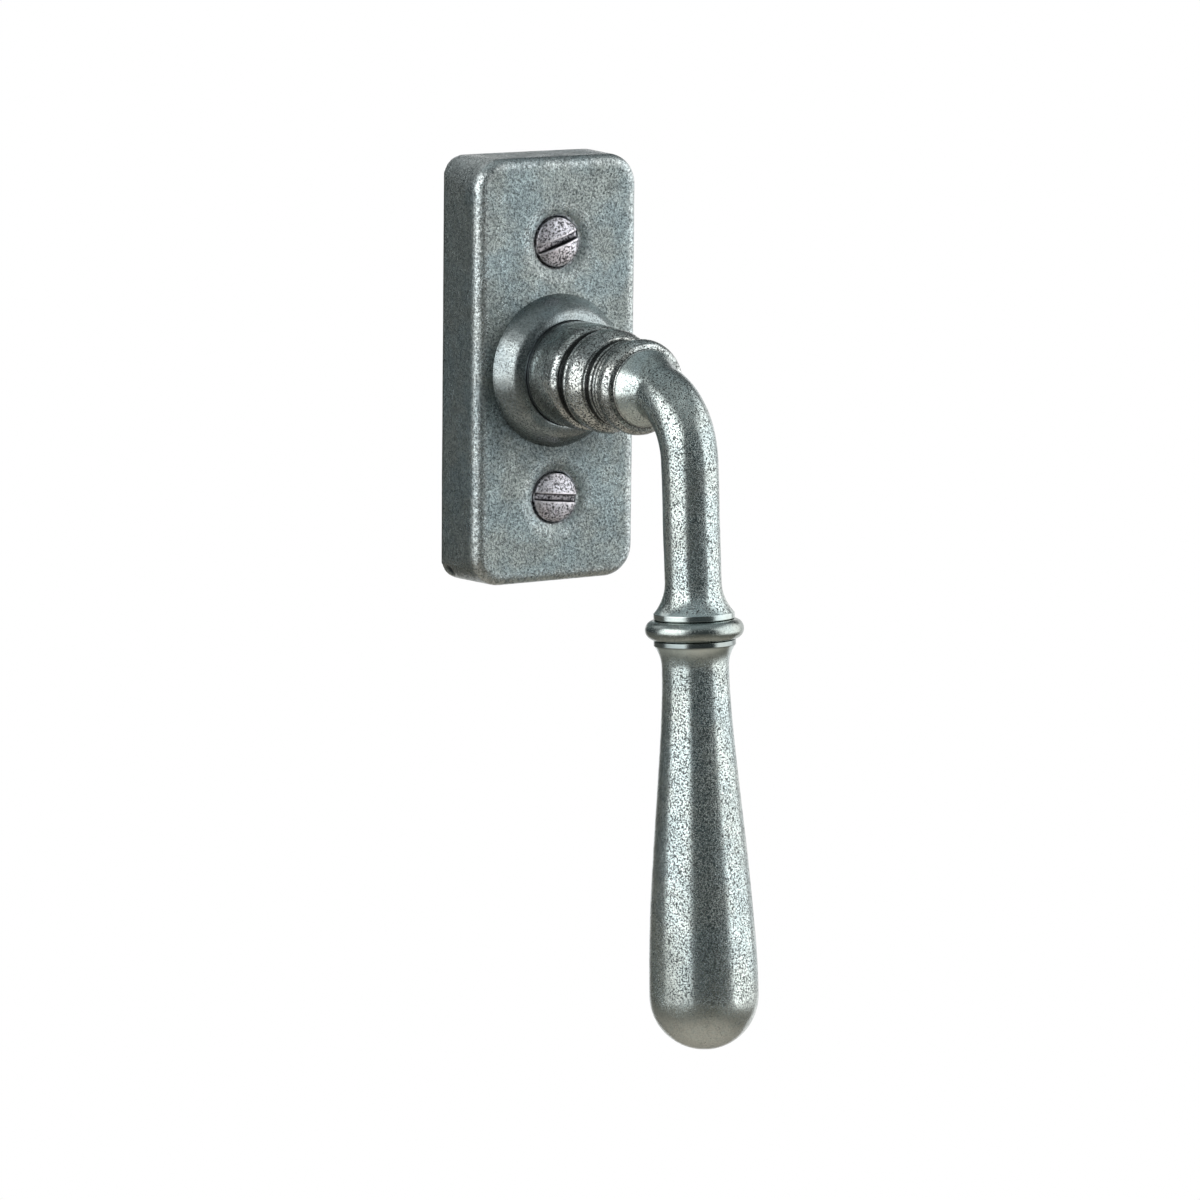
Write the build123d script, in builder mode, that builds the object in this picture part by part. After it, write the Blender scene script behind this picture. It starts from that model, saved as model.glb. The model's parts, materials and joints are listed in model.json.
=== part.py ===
from build123d import *
from math import cos, pi, radians, sin, sqrt, tan
import os

# Forged window handle: an oblong plate, a round boss, a turned neck and a drop-shaped lever.
#
# X points right, Y points into the window frame and Z points up, in millimetres. The origin is
# where the spindle's axis meets the back face of the plate, so the plate's back is at Y = 0 and
# everything that shows lies at negative Y. The lever hangs down, as on a closed window.

# Clearances
press_gap = 0.02
run_gap = 0.05
slide_gap = 0.1

# Spindle and its pin
spindle_size = 7.0
spindle_length = 40.0
spindle_projection = 19.0
spindle_corner = 0.5
pin_r = 1.5
pin_short = 0.2
pin_setback = 4.5

# Tail of the neck and what is stacked on it inside the plate
tail_wall = 1.4
tail_flat_wall = 1.75
tail_end_gap = 0.4
washer_thick = 0.8
washer_overlap = 1.15
disc_thick = 0.35
disc_rise = 0.35
disc_inset = 0.3
cam_thick = 3.4
cam_width = 16.0
cam_corner = 3.5
clip_thick = 0.8
clip_width = 2.4
clip_groove_depth = 0.65
clip_opening = 5.0
clip_land = 0.5

# Detent springs and the housing round them
spring_thick = 0.6
spring_width = 3.0
spring_travel = 2.0
spring_seat = 1.9
spring_end_wall = 0.9

# Boss collar and the bush in it
journal_step = 0.8
bush_wall = 1.1
bush_flange_step = 0.6
bush_flange = 1.3
bush_seat_height = 3.3
spigot_wall = 1.8
boss_lip = 0.2
boss_height = 4.2
boss_spread = 3.85
boss_wall_bulge = 0.15
boss_shoulder_spread = 1.94
boss_shoulder_height = 3.2
boss_round_spread = 1.29
boss_round_height = 3.75

# Plate
plate_margin = 2.84
side_wall = 2.5
plate_back_corner = 3.8
plate_front_corner = 5.5
plate_edge_round = 1.7

# Fixing screws
screw_spacing = 43.0
screw_margin = 14.3
screw_shank_r = 2.5
screw_plain_r = 2.24
screw_length = 30.0
screw_point = 0.6
screw_head_r = 4.15
screw_rim_height = 0.25
screw_crown = 0.9
screw_slot_width = 1.2
screw_slot_depth = 1.35
upper_slot_angle = 18.0
lower_slot_angle = -6.0
head_seat_depth = 1.9
dish_spread = 2.1
dish_depth = 0.55
seat_wall = 1.6
post_r = 5.0

# Rear cover and its two small screws
cover_thick = 1.2
cover_ledge = 0.9
cover_hole_gap = 0.8
cover_bridge = 0.9
cover_screw_r = 1.25
cover_screw_head_r = 2.3
cover_screw_length = 6.0
cover_screw_slot = 0.6
cover_post_r = 2.7
countersink_angle = 90

# Turned neck, from the boss to the lever
barrel_length = 10.0
barrel_r = 8.95
barrel_rear_drop = 0.19
barrel_front_drop = 0.05
barrel_shoulder = 1.5
barrel_groove_length = 1.8
barrel_groove_drop = 1.0
ring_length = 4.37
ring_r = 8.74
ring_edge_drop = 0.34
ring_end_drop = 1.23
ring_shoulder = 2.97
waist_drop = 0.41
waist_cove = 0.45
waist_floor = 0.98
waist_fillets = 2
fillet_length = 0.8
fillet_rise = 0.17
fillet_groove = 0.25
throat_length = 4.3
throat_r = 7.95
throat_edge_drop = 0.7
throat_end_drop = 0.73
throat_shoulder = 1.65
throat_face_rise = 0.2
lip_length = 0.2
lip_drop = 0.08
joint_chamfer = 0.15

# Lever bar: lengths down the lever are counted from the corner of the elbow
lever_lean = 4.0
bar_r = 4.7
ball_r = 6.5
ball_taper = 4.3
ball_start_slope = 1.12
ball_straight = 1.4
bend_r = 11.5
bend_sections = 12
tenon_r = 4.0
tenon_length = 7.0
flare_start = 30.2
flare_length = 4.8
bar_shoulder_r = 6.65
bar_shoulder_length = 1.15
tang_r = 3.6
tang_length = 15.85

# Bead collar and grip
bead_tube_r = 1.65
bead_seat_r = 6.45
grip_shoulder_r = 6.75
grip_shoulder_length = 0.9
grip_cove_length = 3.6
grip_neck_r = 5.52
grip_neck_pull = 14.0
grip_swell_length = 54.05
grip_end_pull = 19.4
grip_end_r = 8.97

# Places along Y inside the plate, from its back face forwards
cover_face = -cover_thick
tail_end = cover_face - tail_end_gap
clip_front = tail_end - clip_land - clip_thick
cam_front = clip_front - run_gap - cam_thick
disc_front = cam_front - run_gap - disc_thick - disc_rise
washer_front = disc_front - run_gap - washer_thick
cavity_floor = washer_front - run_gap
plate_front = cavity_floor - seat_wall - head_seat_depth
plate_thick = -plate_front
tail_start = cavity_floor - slide_gap
spindle_front = spindle_projection - spindle_length
pin_y = cavity_floor - pin_setback

# Radii round the spindle, from its socket outwards
socket_half = spindle_size / 2 + run_gap
socket_corner_r = (socket_half - spindle_corner) * sqrt(2) + spindle_corner
tail_r = socket_corner_r + tail_wall
tail_flat = socket_half + tail_flat_wall
clip_bore_r = tail_r - clip_groove_depth + press_gap
journal_r = tail_r + journal_step
bush_r = journal_r + run_gap + bush_wall
bush_flange_r = bush_r + bush_flange_step
boss_recess_r = bush_flange_r + slide_gap
boss_crest_r = boss_recess_r + boss_lip
boss_r = boss_crest_r + boss_spread
spigot_r = bush_r + press_gap + spigot_wall
washer_r = bush_r + washer_overlap

# Plate, hollow and detent
plate_width = 2 * (boss_r + plate_margin)
plate_height = screw_spacing + 2 * screw_margin
cavity_width = plate_width - 2 * side_wall
cavity_height = plate_height - 2 * side_wall
cavity_corner = plate_front_corner - side_wall
head_hole_r = screw_head_r + slide_gap
cover_screw_x = post_r + slide_gap + cover_screw_head_r + cover_bridge
cover_screw_places = [(cover_screw_x, screw_spacing / 2), (-cover_screw_x, -screw_spacing / 2)]
spring_inner = cam_width / 2 + run_gap
spring_outer = spring_inner + spring_thick
spring_middle = (spring_inner + spring_outer) / 2
housing_width = cavity_width - 2 * slide_gap
housing_height = screw_spacing - 2 * (post_r + slide_gap)
spring_length = housing_height - 2 * spring_end_wall

# Heights of the neck's rings in front of the plate's face
neck_start = bush_seat_height + bush_flange + slide_gap
ring_start = neck_start + barrel_length
waist_start = ring_start + ring_length
fillets_start = waist_start + waist_cove + waist_floor
throat_start = fillets_start + waist_fillets * (fillet_length + fillet_groove)
throat_end = throat_start + throat_length
lip_start = throat_end + throat_face_rise
neck_end = lip_start + lip_length

# Elbow and lever
lean = radians(lever_lean)
bend_turn = pi / 2 - lean
bend_tangent = bend_r * tan(bend_turn / 2)
bend_start = neck_end + ball_straight
lever_reach = bend_start + bend_tangent
flare_end = flare_start + flare_length
bar_end = flare_end + bar_shoulder_length
tang_end = bar_end + tang_length
bead_end = bar_end + 2 * bead_tube_r
cove_start = bead_end + grip_shoulder_length
cove_end = cove_start + grip_cove_length
grip_end = cove_end + grip_swell_length

front_plane = Plane.XZ.offset(plate_thick)
lever_corner = (0, plate_front - lever_reach, 0)
lever_plane = Plane(origin=lever_corner, x_dir=(1, 0, 0), z_dir=(0, cos(lean), -sin(lean)))
lever_axis = Axis(lever_corner, (0, -sin(lean), -cos(lean)))


def ahead(height):
    """Y of a point that lies this far in front of the plate's face."""
    return plate_front - height


def save(piece, label):
    """Name a finished piece and write it to its own file."""
    piece.part.label = label
    export_step(piece.part, f"parts/{label}.step")


os.makedirs("parts", exist_ok=True)

# Backplate: a hollow casting whose corners are fuller at the back, with two screw posts, two
# small cover posts and a bore for the boss
with BuildPart() as backplate:
    with BuildSketch(Plane.XZ):
        RectangleRounded(plate_width, plate_height, plate_back_corner)
    with BuildSketch(front_plane):
        RectangleRounded(plate_width, plate_height, plate_front_corner)
    loft(ruled=True)
    fillet(backplate.faces().sort_by(Axis.Y)[0].edges(), plate_edge_round)
    with BuildSketch(Plane.XZ):
        RectangleRounded(cavity_width, cavity_height, cavity_corner)
        with GridLocations(0, screw_spacing, 1, 2):
            Circle(post_r, mode=Mode.SUBTRACT)
        with Locations(*cover_screw_places):
            Circle(cover_post_r, mode=Mode.SUBTRACT)
    extrude(amount=-cavity_floor, mode=Mode.SUBTRACT)
    with BuildSketch(Plane.XZ):
        RectangleRounded(
            cavity_width + 2 * cover_ledge, cavity_height + 2 * cover_ledge, cavity_corner + cover_ledge
        )
        with GridLocations(0, screw_spacing, 1, 2):
            Circle(post_r, mode=Mode.SUBTRACT)
    extrude(amount=cover_thick, mode=Mode.SUBTRACT)
    with BuildSketch(Plane.XZ):
        Circle(spigot_r + press_gap)
    extrude(amount=plate_thick, mode=Mode.SUBTRACT)
    with Locations(front_plane):
        with GridLocations(0, screw_spacing, 1, 2):
            CounterBoreHole(screw_shank_r + slide_gap, head_hole_r, head_seat_depth)
    for screw_z in (screw_spacing / 2, -screw_spacing / 2):
        with BuildSketch(Plane.XY.offset(screw_z)):
            with BuildLine():
                TangentArc(
                    (head_hole_r + dish_spread, plate_front),
                    (head_hole_r, plate_front + dish_depth),
                    tangent=(-1, 0),
                )
                Polyline(
                    (head_hole_r, plate_front + dish_depth),
                    (0, plate_front + dish_depth),
                    (0, plate_front),
                    (head_hole_r + dish_spread, plate_front),
                )
            make_face()
        revolve(axis=Axis((0, 0, screw_z), (0, 1, 0)), mode=Mode.SUBTRACT)
    with Locations(Plane.ZX.offset(cover_face)):
        with Locations(*[(z, x) for x, z in cover_screw_places]):
            Hole(cover_screw_r + press_gap, depth=cover_screw_length)
save(backplate, "backplate")

# Boss collar: a bulging wall, a rounded shoulder and a shallow crest on the plate's face, and a
# spigot pressed through the plate's wall
with BuildPart() as boss_collar:
    with BuildSketch(Plane.XY):
        with BuildLine():
            bore_r = bush_r + press_gap
            wall = SagittaArc(
                (boss_r, ahead(0)),
                (boss_crest_r + boss_shoulder_spread, ahead(boss_shoulder_height)),
                boss_wall_bulge,
            )
            shoulder = TangentArc(
                wall @ 1,
                (boss_crest_r + boss_round_spread, ahead(boss_round_height)),
                tangent=wall % 1,
            )
            TangentArc(shoulder @ 1, (boss_crest_r, ahead(boss_height)), tangent=shoulder % 1)
            Polyline(
                (boss_crest_r, ahead(boss_height)),
                (boss_recess_r, ahead(boss_height)),
                (boss_recess_r, ahead(bush_seat_height)),
                (bore_r, ahead(bush_seat_height)),
                (bore_r, cavity_floor),
                (spigot_r, cavity_floor),
                (spigot_r, ahead(0)),
                (boss_r, ahead(0)),
            )
        make_face()
    revolve(axis=Axis.Y)
save(boss_collar, "boss_collar")

# Neck bush: a flanged sleeve in the collar, in which the neck's journal turns
with BuildPart() as neck_bush:
    with BuildSketch(Plane.XY):
        with BuildLine():
            Polyline(
                (journal_r + run_gap, ahead(bush_seat_height + bush_flange)),
                (bush_flange_r, ahead(bush_seat_height + bush_flange)),
                (bush_flange_r, ahead(bush_seat_height)),
                (bush_r, ahead(bush_seat_height)),
                (bush_r, cavity_floor),
                (journal_r + run_gap, cavity_floor),
                close=True,
            )
        make_face()
    revolve(axis=Axis.Y)
save(neck_bush, "neck_bush")


def turned_ring(start, length, crown_r, edge_drop, end_drop, shoulder):
    """Outline of one turned ring: a fine rear bead, a crowned band and a rounded front."""
    edge_r = crown_r - edge_drop
    end_r = crown_r - end_drop
    band_start = start + fillet_length
    band_end = start + length - shoulder
    ThreePointArc(
        (edge_r, ahead(start)),
        (edge_r + fillet_rise, ahead(start + fillet_length / 2)),
        (edge_r, ahead(band_start)),
    )
    TangentArc((crown_r, ahead(band_end)), (edge_r, ahead(band_start)), tangent=(0, 1))
    TangentArc((crown_r, ahead(band_end)), (end_r, ahead(start + length)), tangent=(0, -1))


# Handle neck: journal, barrel, ring, waist with fine fillets, throat bead and lip, in one turning
with BuildPart() as handle_neck:
    with BuildSketch(Plane.XY):
        with BuildLine():
            barrel_rear_r = barrel_r - barrel_rear_drop
            barrel_front_r = barrel_r - barrel_front_drop
            barrel_groove_r = barrel_r - barrel_groove_drop
            barrel_end = ring_start - barrel_groove_length
            barrel_front = barrel_end - barrel_shoulder
            ring_edge_r = ring_r - ring_edge_drop
            ring_end_r = ring_r - ring_end_drop
            waist_r = ring_end_r - waist_drop
            throat_end_r = throat_r - throat_end_drop
            Polyline(
                (0, tail_start),
                (journal_r, tail_start),
                (journal_r, ahead(neck_start)),
                (barrel_rear_r, ahead(neck_start)),
            )
            ThreePointArc(
                (barrel_rear_r, ahead(neck_start)),
                (barrel_r, ahead((neck_start + barrel_front) / 2)),
                (barrel_front_r, ahead(barrel_front)),
            )
            TangentArc(
                (barrel_front_r, ahead(barrel_front)),
                (barrel_groove_r, ahead(barrel_end)),
                tangent=(0, -1),
            )
            Polyline(
                (barrel_groove_r, ahead(barrel_end)),
                (barrel_groove_r, ahead(ring_start - fillet_groove)),
                (ring_edge_r, ahead(ring_start)),
            )
            turned_ring(
                ring_start, ring_length, ring_r, ring_edge_drop, ring_end_drop, ring_shoulder
            )
            ThreePointArc(
                (ring_end_r, ahead(waist_start)),
                (
                    ring_end_r - waist_drop * sin(pi / 4),
                    ahead(waist_start + waist_cove * (1 - cos(pi / 4))),
                ),
                (waist_r, ahead(waist_start + waist_cove)),
            )
            Line((waist_r, ahead(waist_start + waist_cove)), (waist_r, ahead(fillets_start)))
            for k in range(waist_fillets):
                fillet_start = fillets_start + k * (fillet_length + fillet_groove)
                fillet_end = fillet_start + fillet_length
                ThreePointArc(
                    (waist_r, ahead(fillet_start)),
                    (waist_r + fillet_rise, ahead((fillet_start + fillet_end) / 2)),
                    (waist_r, ahead(fillet_end)),
                )
                next_r = waist_r if k < waist_fillets - 1 else throat_r - throat_edge_drop
                Polyline(
                    (waist_r, ahead(fillet_end)),
                    (waist_r - fillet_rise, ahead(fillet_end + fillet_groove / 2)),
                    (next_r, ahead(fillet_end + fillet_groove)),
                )
            turned_ring(
                throat_start,
                throat_length,
                throat_r,
                throat_edge_drop,
                throat_end_drop,
                throat_shoulder,
            )
            Polyline(
                (throat_end_r, ahead(throat_end)),
                (ball_r, ahead(lip_start)),
                (ball_r, ahead(neck_end - joint_chamfer)),
                (ball_r - lip_drop, ahead(neck_end)),
                (0, ahead(neck_end)),
                (0, tail_start),
            )
        make_face()
    revolve(axis=Axis.Y)
    with BuildSketch(Plane.XZ.offset(-tail_start)):
        Circle(tail_r)
        Rectangle(2 * tail_flat, 2 * tail_r, mode=Mode.INTERSECT)
    extrude(amount=tail_start - tail_end)
    with BuildSketch(Plane.XZ.offset(-clip_front + run_gap)):
        Circle(tail_r + slide_gap)
        Circle(tail_r - clip_groove_depth, mode=Mode.SUBTRACT)
    extrude(amount=-clip_thick - 2 * run_gap, mode=Mode.SUBTRACT)
    with BuildSketch(Plane.XZ.offset(-tail_end)):
        RectangleRounded(2 * socket_half, 2 * socket_half, spindle_corner)
    extrude(amount=tail_end - spindle_front + slide_gap, mode=Mode.SUBTRACT)
    with BuildSketch(Plane.XZ.offset(-ahead(neck_end))):
        Circle(tenon_r + press_gap)
    extrude(amount=-tenon_length - slide_gap, mode=Mode.SUBTRACT)
    with BuildSketch(Plane.YZ):
        with Locations((pin_y, 0)):
            Circle(pin_r + press_gap)
    extrude(amount=journal_r + slide_gap, both=True, mode=Mode.SUBTRACT)
save(handle_neck, "handle_neck")


def bar_radius(run):
    """Bar radius at a run along the bar's centre line, counted from the front of the neck."""
    share = min(run / ball_taper, 1)
    level = 1 - share
    fallen = ball_start_slope * share * level**2 + share**2 * (3 - 2 * share)
    return ball_r + (bar_r - ball_r) * fallen


# Lever bar: tenon, ball that tapers into the bend, straight stem, flare, shoulder and tang
with BuildPart() as lever_bar:
    with BuildSketch(Plane.XZ.offset(-ahead(neck_end) + joint_chamfer)):
        Circle(bar_radius(joint_chamfer))
    for k in range(bend_sections + 1):
        turn = bend_turn * k / bend_sections
        section = Plane(
            origin=(0, ahead(bend_start) - bend_r * sin(turn), bend_r * cos(turn) - bend_r),
            x_dir=(1, 0, 0),
            z_dir=(0, -cos(turn), -sin(turn)),
        )
        with BuildSketch(section):
            Circle(bar_radius(ball_straight + bend_r * turn))
    loft()
    with BuildSketch(Plane.XY):
        with BuildLine():
            Polyline(
                (0, ahead(neck_end + joint_chamfer)),
                (bar_radius(joint_chamfer), ahead(neck_end + joint_chamfer)),
                (ball_r - joint_chamfer, ahead(neck_end)),
                (tenon_r, ahead(neck_end)),
                (tenon_r, ahead(neck_end - tenon_length)),
                (0, ahead(neck_end - tenon_length)),
                close=True,
            )
        make_face()
    revolve(axis=Axis.Y)
    with BuildSketch(lever_plane):
        with BuildLine():
            Polyline((0, bend_tangent), (bar_r, bend_tangent), (bar_r, flare_start))
            TangentArc(
                (bar_r, flare_start), (bar_shoulder_r - joint_chamfer, flare_end), tangent=(0, 1)
            )
            Polyline(
                (bar_shoulder_r - joint_chamfer, flare_end),
                (bar_shoulder_r, flare_end + joint_chamfer),
                (bar_shoulder_r, bar_end - joint_chamfer),
                (bar_shoulder_r - joint_chamfer, bar_end),
                (tang_r, bar_end),
                (tang_r, tang_end),
                (0, tang_end),
                (0, bend_tangent),
            )
        make_face()
    revolve(axis=lever_axis)
save(lever_bar, "lever_bar")

# Bead collar: a half-round ring held on the tang between the bar's shoulder and the grip
with BuildPart() as bead_collar:
    with BuildSketch(lever_plane):
        with BuildLine():
            ThreePointArc(
                (bead_seat_r, bar_end),
                (bead_seat_r + bead_tube_r, bar_end + bead_tube_r),
                (bead_seat_r, bead_end),
            )
            Polyline(
                (bead_seat_r, bead_end),
                (tang_r + press_gap, bead_end),
                (tang_r + press_gap, bar_end),
                (bead_seat_r, bar_end),
            )
        make_face()
    revolve(axis=lever_axis)
save(bead_collar, "bead_collar")

# Grip: a long drop with a round end, bored for the bar's tang
with BuildPart() as grip:
    with BuildSketch(lever_plane):
        with BuildLine():
            Polyline(
                (0, tang_end + slide_gap),
                (tang_r + press_gap, tang_end + slide_gap),
                (tang_r + press_gap, bead_end),
                (grip_shoulder_r - joint_chamfer, bead_end),
                (grip_shoulder_r, bead_end + joint_chamfer),
                (grip_shoulder_r, cove_start),
            )
            TangentArc((grip_neck_r, cove_end), (grip_shoulder_r, cove_start), tangent=(0, -1))
            Bezier(
                (grip_neck_r, cove_end),
                (grip_neck_r, cove_end + grip_neck_pull),
                (grip_end_r, grip_end - grip_end_pull),
                (grip_end_r, grip_end),
            )
            ThreePointArc(
                (grip_end_r, grip_end),
                (grip_end_r * cos(pi / 4), grip_end + grip_end_r * sin(pi / 4)),
                (0, grip_end + grip_end_r),
            )
            Line((0, grip_end + grip_end_r), (0, tang_end + slide_gap))
        make_face()
    revolve(axis=lever_axis)
save(grip, "grip")

# Spindle: a square bar from the neck through the plate into the window's gear, whose end
# chamfer stays inside the rounding of its corners
with BuildPart() as spindle:
    with BuildSketch(Plane.XZ.offset(-spindle_front)):
        RectangleRounded(spindle_size, spindle_size, spindle_corner)
    extrude(amount=-spindle_length)
    chamfer(spindle.faces().sort_by(Axis.Y)[-1].edges(), spindle_corner - slide_gap)
    with BuildSketch(Plane.YZ):
        with Locations((pin_y, 0)):
            Circle(pin_r + press_gap)
    extrude(amount=spindle_size, both=True, mode=Mode.SUBTRACT)
save(spindle, "spindle")

# Spindle pin: locks the spindle in the neck, hidden by the bush
with BuildPart() as spindle_pin:
    with BuildSketch(Plane.YZ):
        with Locations((pin_y, 0)):
            Circle(pin_r)
    extrude(amount=journal_r - pin_short, both=True)
    chamfer(spindle_pin.edges().filter_by(GeomType.CIRCLE), pin_short)
save(spindle_pin, "spindle_pin")

# Thrust washer: takes the pull of the neck on the back of the boss collar and bush
with BuildPart() as thrust_washer:
    with BuildSketch(Plane.XZ.offset(-washer_front)):
        Circle(washer_r)
        Circle(tail_r + slide_gap, mode=Mode.SUBTRACT)
    extrude(amount=-washer_thick)
save(thrust_washer, "thrust_washer")

# Disc spring: a shallow cone that keeps the neck from rattling
with BuildPart() as disc_spring:
    with BuildSketch(Plane.XY):
        with BuildLine():
            Polyline(
                (tail_r + slide_gap, disc_front + disc_rise),
                (washer_r - disc_inset, disc_front),
                (washer_r - disc_inset, disc_front + disc_thick),
                (tail_r + slide_gap, disc_front + disc_rise + disc_thick),
                close=True,
            )
        make_face()
    revolve(axis=Axis.Y)
save(disc_spring, "disc_spring")

# Index cam: a square with rounded corners on the tail's two flats, one side for each quarter turn
with BuildPart() as index_cam:
    with BuildSketch(Plane.XZ.offset(-cam_front)):
        RectangleRounded(cam_width, cam_width, cam_corner)
    extrude(amount=-cam_thick)
    with BuildSketch(Plane.XZ.offset(-cam_front)):
        Circle(tail_r + press_gap)
        Rectangle(2 * (tail_flat + press_gap), 2 * tail_r + slide_gap, mode=Mode.INTERSECT)
    extrude(amount=-cam_thick, mode=Mode.SUBTRACT)
save(index_cam, "index_cam")

# Circlip: an open ring in the tail's groove, behind the cam
with BuildPart() as circlip:
    with BuildSketch(Plane.XZ.offset(-clip_front)):
        Circle(clip_bore_r + clip_width)
        Circle(clip_bore_r, mode=Mode.SUBTRACT)
        with Locations((0, -clip_bore_r - clip_width / 2)):
            Rectangle(clip_opening, 2 * clip_width, mode=Mode.SUBTRACT)
    extrude(amount=-clip_thick)
save(circlip, "circlip")

# Detent housing: a frame round the cam that holds the ends of the two leaf springs
with BuildPart() as detent_housing:
    with BuildSketch(Plane.XZ.offset(-cavity_floor)):
        Rectangle(housing_width, housing_height)
        Rectangle(2 * (spring_outer + spring_travel), spring_length - 2 * spring_seat, mode=Mode.SUBTRACT)
        with GridLocations(2 * spring_middle, 0, 2, 1):
            Rectangle(spring_thick + 2 * press_gap, spring_length + 2 * press_gap, mode=Mode.SUBTRACT)
    extrude(amount=cavity_floor - cover_face)
save(detent_housing, "detent_housing")


def detent_spring(side, label):
    """One straight leaf spring beside the cam, on the side given by the sign of X."""
    with BuildPart() as leaf:
        with BuildSketch(Plane.XZ.offset(-cam_front - (cam_thick - spring_width) / 2)):
            with Locations((side * spring_middle, 0)):
                Rectangle(spring_thick, spring_length)
        extrude(amount=-spring_width)
    save(leaf, label)


detent_spring(-1, "detent_spring_left")
detent_spring(1, "detent_spring_right")

# Rear cover: closes the plate's hollow and holds the housing, flush with the plate's back
with BuildPart() as rear_cover:
    with BuildSketch(Plane.XZ):
        RectangleRounded(
            cavity_width + 2 * (cover_ledge - slide_gap),
            cavity_height + 2 * (cover_ledge - slide_gap),
            cavity_corner + cover_ledge - slide_gap,
        )
        Circle(socket_corner_r + cover_hole_gap, mode=Mode.SUBTRACT)
        with GridLocations(0, screw_spacing, 1, 2):
            Circle(post_r + slide_gap, mode=Mode.SUBTRACT)
    extrude(amount=cover_thick)
    with Locations(Plane.ZX):
        with Locations(*[(z, x) for x, z in cover_screw_places]):
            CounterSinkHole(
                cover_screw_r + slide_gap,
                cover_screw_head_r + press_gap,
                cover_thick,
                countersink_angle,
            )
save(rear_cover, "rear_cover")

# Rear cover screws: two small countersunk screws, flush with the cover
with BuildPart() as rear_cover_screws:
    for screw_x, screw_z in cover_screw_places:
        cone_depth = cover_screw_head_r - cover_screw_r
        with BuildSketch(Plane.XY.offset(screw_z)):
            with BuildLine():
                Polyline(
                    (screw_x, 0),
                    (screw_x + cover_screw_head_r, 0),
                    (screw_x + cover_screw_r, -cone_depth),
                    (screw_x + cover_screw_r, -cover_screw_length),
                    (screw_x, -cover_screw_length),
                    close=True,
                )
            make_face()
        revolve(axis=Axis((screw_x, 0, screw_z), (0, 1, 0)))
        with BuildSketch(Plane.XZ):
            with Locations((screw_x, screw_z)):
                Rectangle(2 * cover_screw_head_r, cover_screw_slot)
        extrude(amount=cover_screw_slot, mode=Mode.SUBTRACT)
save(rear_cover_screws, "rear_cover_screws")


def fixing_screw(screw_z, slot_angle, label):
    """One slotted screw with a raised head. Its shank is plain in the plate, and its thread, drawn
    as a cylinder of the outer radius, starts at the plate's back."""
    seat_y = plate_front + head_seat_depth
    crown_y = ahead(screw_rim_height + screw_crown)
    with BuildPart() as screw:
        with BuildSketch(Plane.XY.offset(screw_z)):
            with BuildLine():
                TangentArc((0, crown_y), (screw_head_r, ahead(screw_rim_height)), tangent=(1, 0))
                Polyline(
                    (screw_head_r, ahead(screw_rim_height)),
                    (screw_head_r, seat_y),
                    (screw_plain_r, seat_y),
                    (screw_plain_r, 0),
                    (screw_shank_r, 0),
                    (screw_shank_r, seat_y + screw_length - screw_point),
                    (screw_shank_r - screw_point, seat_y + screw_length),
                    (0, seat_y + screw_length),
                    (0, crown_y),
                )
            make_face()
        revolve(axis=Axis((0, 0, screw_z), (0, 1, 0)))
        with BuildSketch(Plane.XZ.offset(-crown_y)):
            with Locations((0, screw_z)):
                Rectangle(2 * screw_head_r + slide_gap, screw_slot_width, rotation=slot_angle)
        extrude(amount=-screw_slot_depth, mode=Mode.SUBTRACT)
    save(screw, label)


fixing_screw(screw_spacing / 2, upper_slot_angle, "fixing_screw_upper")
fixing_screw(-screw_spacing / 2, lower_slot_angle, "fixing_screw_lower")
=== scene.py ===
import json
from math import atan2, ceil, cos, hypot, pi, radians, sin, tan

import bmesh
import bpy
import numpy as np
from mathutils import Matrix, Vector


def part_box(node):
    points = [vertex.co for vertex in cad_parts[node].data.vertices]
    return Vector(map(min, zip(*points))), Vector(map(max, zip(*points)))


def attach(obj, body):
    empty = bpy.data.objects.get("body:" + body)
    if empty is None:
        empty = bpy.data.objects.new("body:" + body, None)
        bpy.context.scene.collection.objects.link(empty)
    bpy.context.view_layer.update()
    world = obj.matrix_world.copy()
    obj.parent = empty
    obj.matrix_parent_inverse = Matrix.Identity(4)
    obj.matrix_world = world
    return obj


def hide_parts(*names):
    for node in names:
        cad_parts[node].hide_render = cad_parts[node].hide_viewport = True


# Forged window handle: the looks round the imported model. Lengths are in millimetres and become
# metres where a mesh, a lamp or a node needs them.
MM = 0.001

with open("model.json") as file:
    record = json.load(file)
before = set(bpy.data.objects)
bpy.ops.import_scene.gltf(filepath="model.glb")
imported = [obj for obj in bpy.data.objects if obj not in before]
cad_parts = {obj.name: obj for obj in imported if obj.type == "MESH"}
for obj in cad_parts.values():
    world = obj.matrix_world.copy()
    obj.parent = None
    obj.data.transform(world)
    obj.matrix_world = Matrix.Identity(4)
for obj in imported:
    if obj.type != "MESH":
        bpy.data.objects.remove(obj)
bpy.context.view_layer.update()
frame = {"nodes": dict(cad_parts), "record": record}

# The plate's face and the places along the spindle's axis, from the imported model
tail_past_cam = 1.35
washer_gap = 0.05
journal_past_floor = 0.1
plate_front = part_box("backplate")[0].y / MM
tail_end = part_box("index_cam")[1].y / MM + tail_past_cam
cavity_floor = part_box("thrust_washer")[0].y / MM - washer_gap

# Boss collar and what turns in it
boss_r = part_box("boss_collar")[1].x / MM
boss_height = plate_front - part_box("boss_collar")[0].y / MM
boss_crest_r = 9.06
boss_wall_bulge = 0.15
boss_shoulder_spread = 1.94
boss_shoulder_height = 3.2
boss_round_spread = 1.29
boss_round_height = 3.75
boss_recess_r = 8.86
bush_seat_height = 3.3
bush_bore_r = 8.18
spigot_r = 9.98
journal_r = 7.01
tail_r = 6.21

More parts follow.
